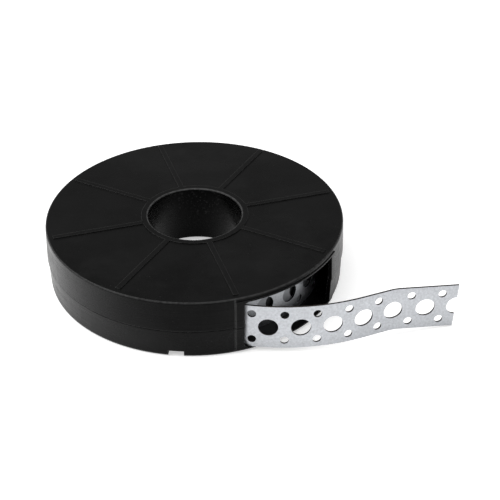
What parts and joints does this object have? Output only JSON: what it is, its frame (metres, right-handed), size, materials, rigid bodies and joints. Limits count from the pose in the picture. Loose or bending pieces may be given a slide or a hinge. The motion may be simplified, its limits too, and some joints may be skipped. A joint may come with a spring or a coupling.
{
  "type": "perforated steel strap in a dispenser case",
  "caption": "Perforated galvanised steel strap wound in a flat round black plastic dispenser case, its punched end drawn out through a window in the side.",
  "frame": {"origin": "on the axis of the hub bore, in the plane where the two shells part", "axes": "+Z along the hub axis, out of the ribbed lid; +X along the free end of the strap, away from the case"},
  "size_m": [0.1607, 0.1307, 0.0273],
  "materials": {
    "black_plastic": "satin, slightly worn",
    "galvanised_steel": "bright zinc coat, no large spangle"
  },
  "bodies": {
    "root": {"upper_shell": "black_plastic", "lower_shell": "black_plastic", "strap": "galvanised_steel"}
  },
  "joints": []
}
